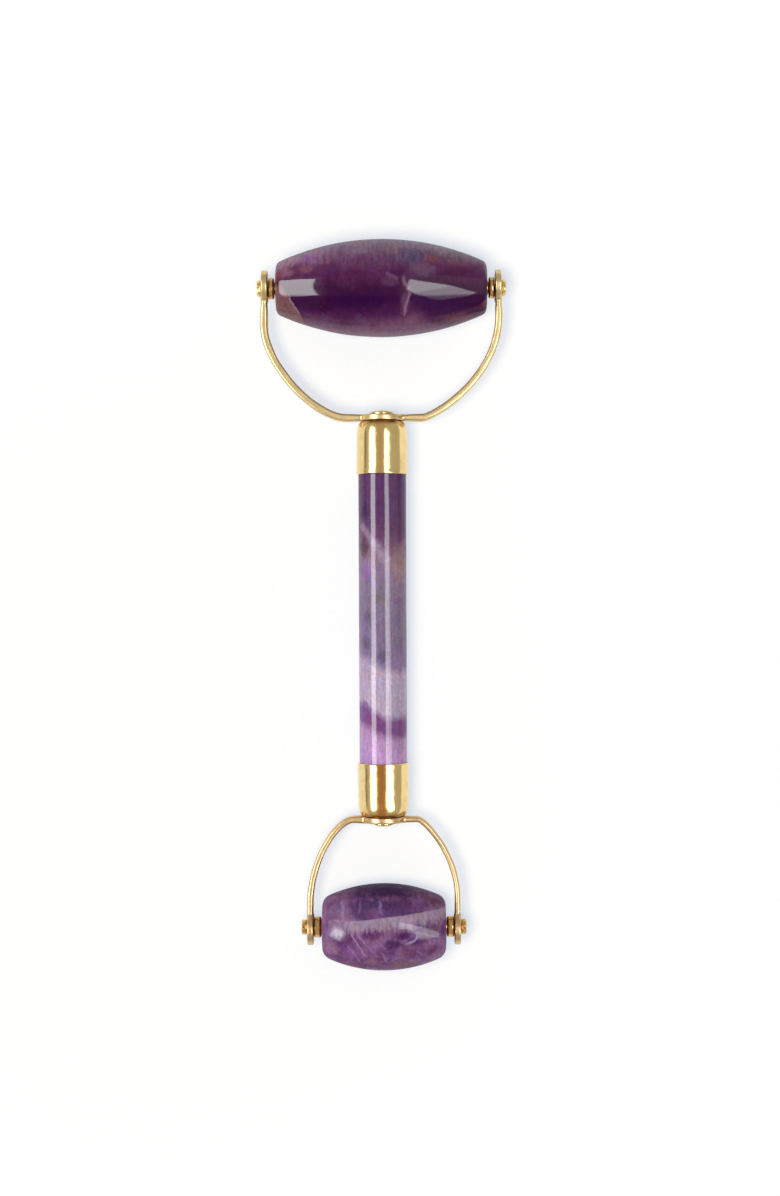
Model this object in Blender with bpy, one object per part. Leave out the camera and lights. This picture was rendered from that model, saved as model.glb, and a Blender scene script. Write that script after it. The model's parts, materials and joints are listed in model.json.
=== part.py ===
"""Gemstone face roller: a polished stone handle with a barrel roller in a brass fork at each end.

Lengths are metres, written as millimetres times MM. +Y runs along the handle towards the large
roller, +X along the roller axles, and +Z out of the plane of the two forks. The origin lies on
the handle's axis, halfway along the whole tool.

Each end is modelled in its own frame, whose local +Y points away from the handle. The small
end's frame is turned half a turn about X, so left and right keep their places in both.
"""

import math
from types import SimpleNamespace

import bmesh
import bpy
from mathutils import Vector

MM = 0.001
WELD = 1e-7
SHARP_ANGLE = math.radians(32)

# Steps round a turned piece, by its size
COARSE = 20
MEDIUM = 24
FINE = 36

SMALL_CHAMFER = 0.08 * MM

# Handle
ROD_RADIUS = 4.75 * MM
ROD_CHAMFER = 0.3 * MM
FERRULE_SPAN = 78.8 * MM  # between the closed faces of the two ferrules
FERRULE_LENGTH = 10.6 * MM
FERRULE_MOUTH_RADIUS = 5.16 * MM
FERRULE_SHOULDER_RADIUS = 5.0 * MM
FERRULE_BORE_RADIUS = 4.8 * MM
FERRULE_CORNER_RISE = 2.5 * MM  # the corner is a quarter of an ellipse
FERRULE_CORNER_WIDTH = 1.0 * MM
FERRULE_CORNER_INSET = 0.25 * MM  # how much narrower the flat of the closed face is inside
FERRULE_WALL = 0.45 * MM
FERRULE_LIP = 0.12 * MM
ROD_SETBACK = 2.7 * MM  # from a ferrule's closed face to the rod's end inside it

# Swivel rivet, which holds a fork to a ferrule and lets it turn
SHANK_RADIUS = 1.1 * MM
SHANK_BORE_RADIUS = 1.16 * MM
SWIVEL_GAP = 0.12 * MM  # between a ferrule and the boss of its fork
SLIDE_GAP = 0.04 * MM  # between faces that bear on each other
RIVET_RIM = 0.42 * MM
RIVET_DOME = 0.5 * MM
RIVET_TAIL_RADIUS = 1.7 * MM
RIVET_TAIL = 0.7 * MM
RIVET_TAIL_CHAMFER = 0.25 * MM
BACKING_RADIUS = 2.7 * MM
BACKING_THICKNESS = 0.5 * MM
PLUG_RADIUS = 4.35 * MM
PLUG_POCKET_RADIUS = 1.85 * MM
PLUG_GAP = 0.1 * MM

# Fork
BOSS_RADIUS = 4.15 * MM
BOSS_THICKNESS = 1.2 * MM
ARM_ROOT_THICKNESS = 1.12 * MM  # where an arm enters the boss or an eye
ARM_DEPTH = 2.8 * MM
ARM_EDGE_ROUND = 0.36 * MM
EYE_RADIUS = 3.15 * MM
EYE_THICKNESS = 1.26 * MM
EYE_OFFSET = 0.45 * MM  # the eye reaches further beyond its hole than before it
DISC_EDGE_ROUND = 0.16 * MM
SHOULDER_PULL = 0.48  # how far an arm keeps straight on before it turns, as a share of its rise
CROWN_PULL = 0.34  # the same where it leaves the boss, as a share of its reach
ARM_STEPS = 11

# Axle and the pieces on it
AXLE_RADIUS = 1.2 * MM
TAPPED_RADIUS = 0.86 * MM
TAPPED_DEPTH = 4.2 * MM
SCREW_SHANK_RADIUS = 0.8 * MM
SCREW_SHANK_LENGTH = 4.4 * MM
SCREW_BORE_RADIUS = 0.86 * MM
SCREW_EDGE_ROUND = 0.2 * MM
SLOT_WIDTH = 0.52 * MM
SLOT_DEPTH = 0.5 * MM
BUSH_RADIUS = 1.6 * MM
BUSH_BORE_RADIUS = 1.24 * MM
BUSH_DEPTH = 5.0 * MM  # inside the stone
BUSH_PROUD = 0.22 * MM
STONE_BORE_RADIUS = 1.65 * MM
SPACER_BORE_RADIUS = 1.27 * MM
SPACER_EDGE_ROUND = 0.2 * MM

LARGE_END = SimpleNamespace(
    name="large",
    turn=0.0,
    axle_reach=25.9 * MM,  # from the middle of the boss to the roller's axle
    arm_x=23.2 * MM,  # from the handle's axis to the middle of an eye
    arm_straight=7.1 * MM,
    arm_thickness=1.48 * MM,
    root_x=7.15 * MM,
    rivet_head_radius=2.45 * MM,
    stone_half=21.0 * MM,
    stone_radius=9.7 * MM,
    crown_radius=49.5 * MM,
    stone_corner=1.5 * MM,
    spacer_radius=2.15 * MM,
    spacer_thickness=1.0 * MM,
    screw_head_radius=1.65 * MM,
    screw_head_height=1.0 * MM,
)
SMALL_END = SimpleNamespace(
    name="small",
    turn=math.pi,
    axle_reach=21.56 * MM,
    arm_x=14.72 * MM,
    arm_straight=5.5 * MM,
    arm_thickness=1.2 * MM,
    root_x=6.3 * MM,
    rivet_head_radius=1.98 * MM,
    stone_half=12.35 * MM,
    stone_radius=8.64 * MM,
    crown_radius=27.2 * MM,
    stone_corner=2.4 * MM,
    spacer_radius=2.1 * MM,
    spacer_thickness=1.35 * MM,
    screw_head_radius=1.5 * MM,
    screw_head_height=1.1 * MM,
)

BOSS_MIDDLE = SWIVEL_GAP + BOSS_THICKNESS / 2  # from a ferrule's closed face


def reach(end):
    """From the handle's middle to the far side of an end's stone."""
    return FERRULE_SPAN / 2 + BOSS_MIDDLE + end.axle_reach + end.stone_radius


HANDLE_MIDDLE_Y = (reach(SMALL_END) - reach(LARGE_END)) / 2
ROD_HALF = FERRULE_SPAN / 2 - ROD_SETBACK


# Scene and materials


def clear_scene():
    for obj in list(bpy.data.objects):
        bpy.data.objects.remove(obj)


def make_material(name, colour, roughness, metallic):
    material = bpy.data.materials.new(name)
    material.use_nodes = True
    shader = material.node_tree.nodes["Principled BSDF"]
    shader.inputs["Base Color"].default_value = (*colour, 1.0)
    shader.inputs["Roughness"].default_value = roughness
    shader.inputs["Metallic"].default_value = metallic
    return material


def make_materials():
    return SimpleNamespace(
        amethyst=make_material("amethyst", (0.13, 0.045, 0.15), 0.12, 0.0),
        pale_amethyst=make_material("pale_amethyst", (0.30, 0.18, 0.34), 0.12, 0.0),
        brass=make_material("brass", (0.78, 0.56, 0.22), 0.22, 1.0),
        steel=make_material("steel", (0.55, 0.54, 0.52), 0.3, 1.0),
        resin=make_material("resin", (0.62, 0.58, 0.46), 0.45, 0.0),
    )


def add_object(name, mesh, parent, place=(0, 0, 0), turn=(0, 0, 0)):
    obj = bpy.data.objects.new(name, mesh)
    bpy.context.scene.collection.objects.link(obj)
    obj.parent = parent
    obj.location = place
    obj.rotation_euler = turn
    return obj


def add_empty(name, parent, place=(0, 0, 0), turn=(0, 0, 0)):
    return add_object(name, None, parent, place, turn)


# Local Z of a turned piece is laid along one of these directions of its frame.
ALONG_Y = (-math.pi / 2, 0, 0)
ALONG_PLUS_X = (0, math.pi / 2, 0)
ALONG_MINUS_X = (0, -math.pi / 2, 0)


# Shapes


def arc(centre, radius, start, finish, steps):
    """Points of a circle in a turned outline, as (along, out) pairs; angles are from +along."""
    along, out = centre
    return [
        (along + radius * math.cos(angle), out + radius * math.sin(angle))
        for angle in (start + (finish - start) * i / steps for i in range(steps + 1))
    ]


def corner(centre, size, steps):
    """A quarter of an ellipse, from its end along the axis to its widest point."""
    along, out = centre
    angles = [math.pi / 2 * i / steps for i in range(steps + 1)]
    return [(along + size[0] * math.cos(a), out + size[1] * math.sin(a)) for a in angles]


def mesh_from(bm, name, material):
    bmesh.ops.remove_doubles(bm, verts=bm.verts, dist=WELD)
    bmesh.ops.recalc_face_normals(bm, faces=bm.faces)
    mesh = bpy.data.meshes.new(name)
    bm.to_mesh(mesh)
    bm.free()
    mesh.shade_smooth()
    mesh.set_sharp_from_angle(angle=SHARP_ANGLE)
    if material:
        mesh.materials.append(material)
    return mesh


def turned_mesh(name, outline, material, steps):
    """Turns (along, out) points round local Z. An outline that leaves the axis is a closed ring."""
    bm = bmesh.new()
    points = [bm.verts.new((out, 0, along)) for along, out in outline]
    edges = [bm.edges.new(pair) for pair in zip(points, points[1:])]
    if outline[0][1] > WELD:
        edges.append(bm.edges.new((points[-1], points[0])))
    bmesh.ops.spin(
        bm,
        geom=points + edges,
        cent=(0, 0, 0),
        axis=(0, 0, 1),
        angle=2 * math.pi,
        steps=steps,
        use_merge=True,
    )
    return mesh_from(bm, name, material)


def ring_outline(low, high, bore, radius, edge, edge_steps=1):
    """A flat ring between two places along its axis, with its outer corners broken or rounded."""
    return (
        [(low, bore)]
        + arc((low + edge, radius - edge), edge, math.pi, math.pi / 2, edge_steps)
        + arc((high - edge, radius - edge), edge, math.pi / 2, 0, edge_steps)
        + [(high, bore)]
    )


def disc_outline(thickness, radius, edge):
    return ring_outline(-thickness / 2, thickness / 2, 0, radius, edge, 2)


def bezier(p0, p1, p2, p3, steps):
    """Points and directions of a cubic curve, without its first point."""
    found = []
    for i in range(1, steps + 1):
        t = i / steps
        s = 1 - t
        point = s**3 * p0 + 3 * s * s * t * p1 + 3 * s * t * t * p2 + t**3 * p3
        slope = s * s * (p1 - p0) + 2 * s * t * (p2 - p1) + t * t * (p3 - p2)
        found.append((point, slope.normalized()))
    return found


def smooth_step(value):
    value = min(1.0, max(0.0, value))
    return value * value * (3 - 2 * value)


# Handle


def build_rod(materials):
    outline = [
        (-ROD_HALF, 0),
        (-ROD_HALF, ROD_RADIUS - ROD_CHAMFER),
        (-ROD_HALF + ROD_CHAMFER, ROD_RADIUS),
        (ROD_HALF - ROD_CHAMFER, ROD_RADIUS),
        (ROD_HALF, ROD_RADIUS - ROD_CHAMFER),
        (ROD_HALF, 0),
    ]
    mesh = turned_mesh("handle_rod", outline, materials.pale_amethyst, FINE)
    add_object("handle_rod", mesh, None, (0, HANDLE_MIDDLE_Y, 0), ALONG_Y)


def build_ferrule(end, frame, materials):
    """A drawn cup, slightly flared, with a hole for the rivet in its closed face at local zero."""
    mouth = -FERRULE_LENGTH
    flat_radius = FERRULE_SHOULDER_RADIUS - FERRULE_CORNER_WIDTH
    inner_flat = flat_radius - FERRULE_CORNER_INSET
    outside = [(0, SHANK_BORE_RADIUS)] + corner(
        (-FERRULE_CORNER_RISE, flat_radius),
        (FERRULE_CORNER_RISE, FERRULE_CORNER_WIDTH),
        5,
    )
    lip = arc(
        (mouth + FERRULE_LIP, FERRULE_MOUTH_RADIUS - FERRULE_LIP),
        FERRULE_LIP,
        math.pi / 2,
        math.pi,
        1,
    )
    inside = [(mouth, FERRULE_BORE_RADIUS)] + corner(
        (-FERRULE_CORNER_RISE, inner_flat),
        (FERRULE_CORNER_RISE - FERRULE_WALL, FERRULE_BORE_RADIUS - inner_flat),
        4,
    )[::-1]
    outline = outside + lip + inside + [(-FERRULE_WALL, SHANK_BORE_RADIUS)]
    mesh = turned_mesh(end.name + "_ferrule", outline, materials.brass, FINE)
    add_object(end.name + "_ferrule", mesh, frame, turn=ALONG_Y)


def build_swivel(end, frame, materials):
    """The rivet, the washer behind it and the adhesive plug, along the handle's axis."""
    backing_high = -FERRULE_WALL - SLIDE_GAP
    backing_low = backing_high - BACKING_THICKNESS
    washer = ring_outline(
        backing_low, backing_high, SHANK_BORE_RADIUS, BACKING_RADIUS, SMALL_CHAMFER
    )
    mesh = turned_mesh(end.name + "_backing_washer", washer, materials.steel, COARSE)
    add_object(end.name + "_backing_washer", mesh, frame, turn=ALONG_Y)

    head_low = BOSS_MIDDLE + BOSS_THICKNESS / 2 + SLIDE_GAP
    head_radius = end.rivet_head_radius
    rim = head_low + RIVET_RIM
    dome_radius = (head_radius**2 + RIVET_DOME**2) / (2 * RIVET_DOME)
    dome_half_angle = math.asin(head_radius / dome_radius)
    dome = arc((rim + RIVET_DOME - dome_radius, 0), dome_radius, dome_half_angle, 0, 4)
    tail_high = backing_low - SLIDE_GAP
    tail_low = tail_high - RIVET_TAIL
    rivet = [
        (tail_low, 0),
        (tail_low, RIVET_TAIL_RADIUS - RIVET_TAIL_CHAMFER),
        (tail_low + RIVET_TAIL_CHAMFER, RIVET_TAIL_RADIUS),
        (tail_high, RIVET_TAIL_RADIUS),
        (tail_high, SHANK_RADIUS),
        (head_low, SHANK_RADIUS),
        (head_low, head_radius),
    ] + dome[:-1]
    rivet.append((rim + RIVET_DOME, 0))
    mesh = turned_mesh(end.name + "_swivel_rivet", rivet, materials.brass, MEDIUM)
    add_object(end.name + "_swivel_rivet", mesh, frame, turn=ALONG_Y)

    plug_low = -ROD_SETBACK + SLIDE_GAP
    plug_high = backing_low - PLUG_GAP
    pocket = tail_low - PLUG_GAP
    plug = [
        (plug_low, 0),
        (plug_low, PLUG_RADIUS),
        (plug_high, PLUG_RADIUS),
        (plug_high, PLUG_POCKET_RADIUS),
        (pocket, PLUG_POCKET_RADIUS),
        (pocket, 0),
    ]
    mesh = turned_mesh(end.name + "_adhesive_plug", plug, materials.resin, MEDIUM)
    add_object(end.name + "_adhesive_plug", mesh, frame, turn=ALONG_Y)


# Fork


def arm_stations(end):
    """Middle line of the right arm from the boss to the eye: (place, direction, thickness)."""
    root = Vector((end.root_x, 0))
    bend_top = Vector((end.arm_x, end.axle_reach - end.arm_straight))
    tip = Vector((end.arm_x, end.axle_reach))
    line = [(Vector((0, 0)), Vector((1, 0))), (root, Vector((1, 0)))]
    line += bezier(
        root,
        root + Vector((CROWN_PULL * (end.arm_x - end.root_x), 0)),
        bend_top - Vector((0, SHOULDER_PULL * bend_top.y)),
        bend_top,
        ARM_STEPS,
    )
    eye_edge = tip - Vector((0, EYE_RADIUS - EYE_OFFSET))
    line += [(eye_edge, Vector((0, 1))), (tip, Vector((0, 1)))]
    stations = []
    for place, direction in line:
        off_boss = smooth_step((place.x - BOSS_RADIUS) / (2 * BOSS_RADIUS))
        off_eye = smooth_step((eye_edge.y - place.y) / (end.arm_straight / 2))
        thickness = ARM_ROOT_THICKNESS + min(off_boss, off_eye) * (
            end.arm_thickness - ARM_ROOT_THICKNESS
        )
        stations.append((place, direction, thickness))
    return stations


def arm_strip_mesh(end, material):
    """Both arms as one bent strip: its outline in the plane of the fork, extruded and rounded."""
    right = arm_stations(end)
    inner, outer = [], []
    for place, direction, thickness in right:
        side = Vector((direction.y, -direction.x)) * (thickness / 2)
        outer.append(place + side)
        inner.append(place - side)

    def both_sides(points):
        mirrored = [Vector((-p.x, p.y)) for p in reversed(points[1:])]
        return mirrored + points

    outline = both_sides(outer) + list(reversed(both_sides(inner)))
    bm = bmesh.new()
    low = [bm.verts.new((p.x, p.y, -ARM_DEPTH / 2)) for p in outline]
    face = bm.faces.new(low)
    raised = bmesh.ops.extrude_face_region(bm, geom=[face])["geom"]
    high = [item for item in raised if isinstance(item, bmesh.types.BMVert)]
    bmesh.ops.translate(bm, verts=high, vec=(0, 0, ARM_DEPTH))
    long_edges = [
        e for e in bm.edges if abs(e.verts[0].co.z - e.verts[1].co.z) < WELD
    ]
    bmesh.ops.bevel(
        bm,
        geom=long_edges,
        offset=ARM_EDGE_ROUND,
        segments=2,
        profile=0.5,
        affect="EDGES",
    )
    return mesh_from(bm, end.name + "_fork", material)


def helper(name, mesh, parent, place=(0, 0, 0), turn=(0, 0, 0)):
    """A shape that only joins or cuts another, and is no part of the object itself."""
    obj = add_object(name, mesh, parent, place, turn)
    obj.hide_render = True
    obj.display_type = "WIRE"
    return obj


def apply_boolean(obj, operation, other):
    modifier = obj.modifiers.new(operation.title() + " " + other.name, "BOOLEAN")
    modifier.operation = operation
    modifier.object = other
    modifier.solver = "EXACT"


def build_fork(end, frame, materials):
    """Boss, two arms and two eyes in one piece; its origin is the middle of the boss."""
    name = end.name + "_fork"
    fork = add_object(name, arm_strip_mesh(end, materials.brass), frame)
    boss = turned_mesh(
        name + "_boss", disc_outline(BOSS_THICKNESS, BOSS_RADIUS, DISC_EDGE_ROUND), None, FINE
    )
    apply_boolean(fork, "UNION", helper(name + "_boss", boss, frame, turn=ALONG_Y))
    eye = turned_mesh(
        name + "_eye", disc_outline(EYE_THICKNESS, EYE_RADIUS, DISC_EDGE_ROUND), None, MEDIUM
    )
    for side, word in ((-1, "left"), (1, "right")):
        place = (side * end.arm_x, end.axle_reach + EYE_OFFSET, 0)
        shape = helper(f"{name}_{word}_eye", eye, frame, place, ALONG_PLUS_X)
        apply_boolean(fork, "UNION", shape)
    past = end.arm_x + 2 * EYE_THICKNESS
    cutters = (
        ("swivel_bore", SHANK_BORE_RADIUS, 2 * BOSS_THICKNESS, 0, ALONG_Y),
        ("screw_bore", SCREW_BORE_RADIUS, past, end.axle_reach, ALONG_PLUS_X),
    )
    for word, radius, half, y, turn in cutters:
        outline = [(-half, 0), (-half, radius), (half, radius), (half, 0)]
        mesh = turned_mesh(f"{name}_{word}", outline, None, MEDIUM)
        cutter = helper(f"{name}_{word}", mesh, frame, (0, y, 0), turn)
        apply_boolean(fork, "DIFFERENCE", cutter)


# Roller


def build_stone(end, frame, materials):
    """A barrel with a circular crown, corners that flow into it, flat ends and a through bore."""
    crown_centre = (0, end.stone_radius - end.crown_radius)
    corner_along = end.stone_half - end.stone_corner
    to_corner = end.crown_radius - end.stone_corner
    corner_out = crown_centre[1] + math.sqrt(to_corner**2 - corner_along**2)
    tangent = math.acos(corner_along / to_corner)  # where a corner meets the crown
    right_corner = arc((corner_along, corner_out), end.stone_corner, 0, tangent, 3)
    crown = arc(crown_centre, end.crown_radius, tangent, math.pi - tangent, 10)
    left_corner = [(-along, out) for along, out in reversed(right_corner)]
    outline = (
        [(end.stone_half, STONE_BORE_RADIUS)]
        + right_corner
        + crown[1:-1]
        + left_corner
        + [(-end.stone_half, STONE_BORE_RADIUS)]
    )
    mesh = turned_mesh(end.name + "_stone", outline, materials.amethyst, FINE)
    add_object(end.name + "_stone", mesh, frame, turn=ALONG_PLUS_X)


def build_axle(end, frame, materials):
    """A rod between the two eyes, tapped at both ends."""
    half = end.arm_x - EYE_THICKNESS / 2 - SLIDE_GAP
    floor = half - TAPPED_DEPTH
    outline = [
        (-floor, 0),
        (-floor, TAPPED_RADIUS),
        (-half, TAPPED_RADIUS),
        (-half, AXLE_RADIUS),
        (half, AXLE_RADIUS),
        (half, TAPPED_RADIUS),
        (floor, TAPPED_RADIUS),
        (floor, 0),
    ]
    mesh = turned_mesh(end.name + "_axle", outline, materials.steel, MEDIUM)
    add_object(end.name + "_axle", mesh, frame, turn=ALONG_PLUS_X)


def build_bushes(end, frame, materials):
    """Sleeves bonded into the stone's bore, which stand a little proud of its end faces."""
    bush = ring_outline(
        end.stone_half - BUSH_DEPTH,
        end.stone_half + BUSH_PROUD,
        BUSH_BORE_RADIUS,
        BUSH_RADIUS,
        SMALL_CHAMFER,
    )
    mesh = turned_mesh(end.name + "_bush", bush, materials.brass, COARSE)
    add_object(end.name + "_left_bush", mesh, frame, turn=ALONG_MINUS_X)
    add_object(end.name + "_right_bush", mesh, frame, turn=ALONG_PLUS_X)


def build_spacers(end, frame, materials):
    """Thick washers on the axle, between a bush and an eye."""
    high = end.arm_x - EYE_THICKNESS / 2 - SLIDE_GAP
    spacer = ring_outline(
        high - end.spacer_thickness,
        high,
        SPACER_BORE_RADIUS,
        end.spacer_radius,
        SPACER_EDGE_ROUND,
        2,
    )
    mesh = turned_mesh(end.name + "_spacer", spacer, materials.brass, COARSE)
    add_object(end.name + "_left_spacer", mesh, frame, turn=ALONG_MINUS_X)
    add_object(end.name + "_right_spacer", mesh, frame, turn=ALONG_PLUS_X)


def build_screws(end, frame, materials):
    """Slotted screws that clamp the eyes to the axle; their origin is under the head."""
    head = end.screw_head_radius
    height = end.screw_head_height
    edge = SCREW_EDGE_ROUND
    outline = [
        (-SCREW_SHANK_LENGTH, 0),
        (-SCREW_SHANK_LENGTH, SCREW_SHANK_RADIUS),
        (0, SCREW_SHANK_RADIUS),
        (0, head),
    ]
    outline += arc((height - edge, head - edge), edge, math.pi / 2, 0, 2)
    outline.append((height, 0))
    screw = turned_mesh(end.name + "_screw", outline, materials.brass, MEDIUM)
    slot = bpy.data.meshes.new(end.name + "_slot")
    bm = bmesh.new()
    bmesh.ops.create_cube(bm, size=1)
    bmesh.ops.scale(bm, vec=(4 * head, SLOT_WIDTH, 2 * SLOT_DEPTH), verts=bm.verts)
    bm.to_mesh(slot)
    bm.free()
    under_head = end.arm_x + EYE_THICKNESS / 2 + SLIDE_GAP
    for side, word, turn in ((-1, "left", ALONG_MINUS_X), (1, "right", ALONG_PLUS_X)):
        name = f"{end.name}_{word}_screw"
        obj = add_object(name, screw, frame, (side * under_head, 0, 0), turn)
        cutter = helper(
            name + "_slot", slot, frame, (side * (under_head + height), 0, 0), turn
        )
        apply_boolean(obj, "DIFFERENCE", cutter)


def build_end(end, materials):
    face_y = FERRULE_SPAN / 2
    frame_place = (0, HANDLE_MIDDLE_Y + math.cos(end.turn) * face_y, 0)
    face = add_empty(end.name + "_end_frame", None, frame_place, (end.turn, 0, 0))
    build_ferrule(end, face, materials)
    build_swivel(end, face, materials)
    swivel = add_empty(end.name + "_swivel_frame", face, (0, BOSS_MIDDLE, 0))
    build_fork(end, swivel, materials)
    axle = add_empty(end.name + "_axle_frame", swivel, (0, end.axle_reach, 0))
    build_axle(end, axle, materials)
    build_stone(end, axle, materials)
    build_bushes(end, axle, materials)
    build_spacers(end, axle, materials)
    build_screws(end, axle, materials)


def main():
    clear_scene()
    materials = make_materials()
    build_rod(materials)
    build_end(LARGE_END, materials)
    build_end(SMALL_END, materials)


main()
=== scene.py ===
"""Looks for the gemstone face roller: fine meshes, stone and brass materials, and a small studio.

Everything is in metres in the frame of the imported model: +Y along the handle towards the large
roller, +X along the axles, +Z up. Lengths below are millimetres times MM. Shader places are in
millimetres from a piece's own middle, along the same three directions.
"""

import json
import math
from types import SimpleNamespace

import bmesh
import bpy
import numpy as np
from mathutils import Matrix, Vector


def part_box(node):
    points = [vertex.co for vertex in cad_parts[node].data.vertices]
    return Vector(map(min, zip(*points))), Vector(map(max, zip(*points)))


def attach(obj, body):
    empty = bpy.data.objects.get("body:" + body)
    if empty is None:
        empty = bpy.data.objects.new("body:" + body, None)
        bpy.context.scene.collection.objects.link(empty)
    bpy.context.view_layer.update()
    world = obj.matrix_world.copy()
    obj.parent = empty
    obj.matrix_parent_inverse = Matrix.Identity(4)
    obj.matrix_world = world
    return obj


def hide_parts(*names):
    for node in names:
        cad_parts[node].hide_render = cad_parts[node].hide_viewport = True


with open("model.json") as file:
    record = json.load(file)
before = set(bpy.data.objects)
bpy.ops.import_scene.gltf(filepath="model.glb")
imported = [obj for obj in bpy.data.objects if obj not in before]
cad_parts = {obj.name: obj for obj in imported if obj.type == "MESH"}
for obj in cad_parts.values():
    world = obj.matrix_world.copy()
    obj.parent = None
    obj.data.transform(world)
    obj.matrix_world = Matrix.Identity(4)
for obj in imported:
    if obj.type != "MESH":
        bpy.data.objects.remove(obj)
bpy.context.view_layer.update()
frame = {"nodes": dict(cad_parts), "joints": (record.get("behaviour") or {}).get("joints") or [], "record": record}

MM = 0.001
RIGHT, FORWARD, UP = Vector((1, 0, 0)), Vector((0, 1, 0)), Vector((0, 0, 1))
WELD = 1e-7
SHARP_ANGLE = math.radians(38)

RECORD = frame["record"]
JOINTS = {joint["name"]: joint for joint in frame["joints"]}
BODY_OF = {node: body for body, nodes in RECORD["behaviour"]["bodies"].items() for node in nodes}

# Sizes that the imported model's boxes don't give
ROD_EDGE_ROUND = 0.3 * MM
FERRULE_CORNER_RISE = 2.5 * MM
FERRULE_CORNER_WIDTH = 1.0 * MM
FERRULE_WALL = 0.45 * MM
FERRULE_SHEET = 0.36 * MM  # the wall at the mouth
FERRULE_LIP = 0.17 * MM
FERRULE_FLARE = 0.16 * MM  # how much wider the mouth is than the shoulder
RIVET_BORE = 1.16 * MM
RIVET_SHANK = 1.1 * MM
RIVET_RIM = 0.42 * MM
RIVET_RIM_ROUND = 0.2 * MM
RIVET_TAIL_RADIUS = 1.7 * MM
RIVET_TAIL = 0.7 * MM
RIVET_TAIL_CHAMFER = 0.25 * MM
SLIDE_GAP = 0.04 * MM  # between faces that bear on each other
BOSS_THICKNESS = 1.2 * MM
BOSS_RADIUS = 4.15 * MM
BOSS_EDGE_ROUND = 0.24 * MM
ARM_ROOT_THICKNESS = 1.2 * MM
ARM_DEPTH = 2.8 * MM
ARM_EDGE_ROUND = 0.5 * MM
EYE_RADIUS = 3.15 * MM
EYE_THICKNESS = 1.26 * MM
EYE_OFFSET = 0.45 * MM
EYE_EDGE_ROUND = 0.28 * MM
COLLAR_EDGE_ROUND = 0.42 * MM
COLLAR_REACH = 0.15 * MM  # how far a spacer is drawn out towards the stone
BRAZE_FILLET = 0.5 * MM
SCREW_BORE = 0.86 * MM
SCREW_SHANK = 0.8 * MM
SCREW_THREAD_DEPTH = 0.1 * MM
SCREW_PITCH = 0.35 * MM
SCREW_PLAIN = 1.5 * MM  # of the shank, next to the head
SCREW_EDGE_ROUND = 0.36 * MM
SLOT_WIDTH = 0.52 * MM
SLOT_DEPTH = 0.5 * MM
AXLE_RADIUS = 1.2 * MM
TAPPED_RADIUS = 0.86 * MM
TAPPED_DEPTH = 4.2 * MM
BUSH_BORE = 1.24 * MM
BUSH_EDGE_ROUND = 0.1 * MM
SPACER_BORE = 1.27 * MM
STONE_BORE = 1.65 * MM
BORE_EDGE_ROUND = 0.12 * MM
ARM_UNEVENNESS = 0.02 * MM
SLOT_EDGE_ROUND = 0.16 * MM

# How finely the forks and screws are remeshed before they settle on their fields
FORK_VOXEL = 0.17 * MM
SCREW_VOXEL = 0.085 * MM

# Each arm is bent by hand, so no two are alike. The straight part beside the stone stands out by
# bow, and the pulls say how soon the arm turns, as a share of its rise and of its reach.
LARGE = SimpleNamespace(
    name="large",
    crown_radius=49.5 * MM,
    stone_corner=1.5 * MM,
    slot_turns={"left": 19, "right": -24},
    arms={
        -1: SimpleNamespace(
            bow=0.15 * MM, straight=7.25 * MM, root_x=6.95 * MM, crown_pull=0.4, rise_pull=0.42,
            thickness=1.53 * MM, root_thickness=1.25 * MM,
        ),
        1: SimpleNamespace(
            bow=0.15 * MM, straight=5.3 * MM, root_x=8.1 * MM, crown_pull=0.12, rise_pull=0.64,
            thickness=1.43 * MM, root_thickness=1.15 * MM,
        ),
    },
)
SMALL = SimpleNamespace(
    name="small",
    crown_radius=27.2 * MM,
    stone_corner=2.4 * MM,
    slot_turns={"left": -28, "right": 15},
    arms={
        -1: SimpleNamespace(
            bow=0.0, straight=4.6 * MM, root_x=6.0 * MM, crown_pull=0.36, rise_pull=0.54,
            thickness=1.27 * MM, root_thickness=1.5 * MM,
        ),
        1: SimpleNamespace(
            bow=0.0, straight=6.0 * MM, root_x=6.8 * MM, crown_pull=0.16, rise_pull=0.55,
            thickness=1.08 * MM, root_thickness=1.25 * MM,
        ),
    },
)


def middle(node):
    low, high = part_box(node)
    return (low + high) / 2


def half_size(node):
    low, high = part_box(node)
    return (high - low) / 2


for end in (LARGE, SMALL):
    end.boss = Vector(JOINTS[end.name + "_fork_swivel"]["pos_m"])
    end.axle = Vector(JOINTS[end.name + "_roller_spin"]["pos_m"])
    end.outward = (end.axle - end.boss).normalized()
    end.reach = (end.axle - end.boss).length
    end.arm_x = half_size(end.name + "_fork").x - EYE_THICKNESS / 2


# ---------------------------------------------------------------- meshes


def arc(centre, radius, start, finish, steps):
    """Points of a circle in a turned outline, as (along, out) pairs; angles are from +along."""
    along, out = centre
    return [
        (along + radius * math.cos(angle), out + radius * math.sin(angle))
        for angle in (start + (finish - start) * i / steps for i in range(steps + 1))
    ]


def corner(centre, size, steps):
    """A quarter of an ellipse, from its end along the axis to its widest point."""
    along, out = centre
    angles = [math.pi / 2 * i / steps for i in range(steps + 1)]
    return [(along + size[0] * math.cos(a), out + size[1] * math.sin(a)) for a in angles]


def filled(outline, longest, closed):
    """The outline with points added on stretches longer than longest."""
    ends = outline[1:] + outline[:1] if closed else outline[1:]
    found = []
    for (a0, r0), (a1, r1) in zip(outline, ends):
        count = max(1, math.ceil(math.hypot(a1 - a0, r1 - r0) / longest))
        found += [(a0 + (a1 - a0) * i / count, r0 + (r1 - r0) * i / count) for i in range(count)]
    return found if closed else found + [outline[-1]]


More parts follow.
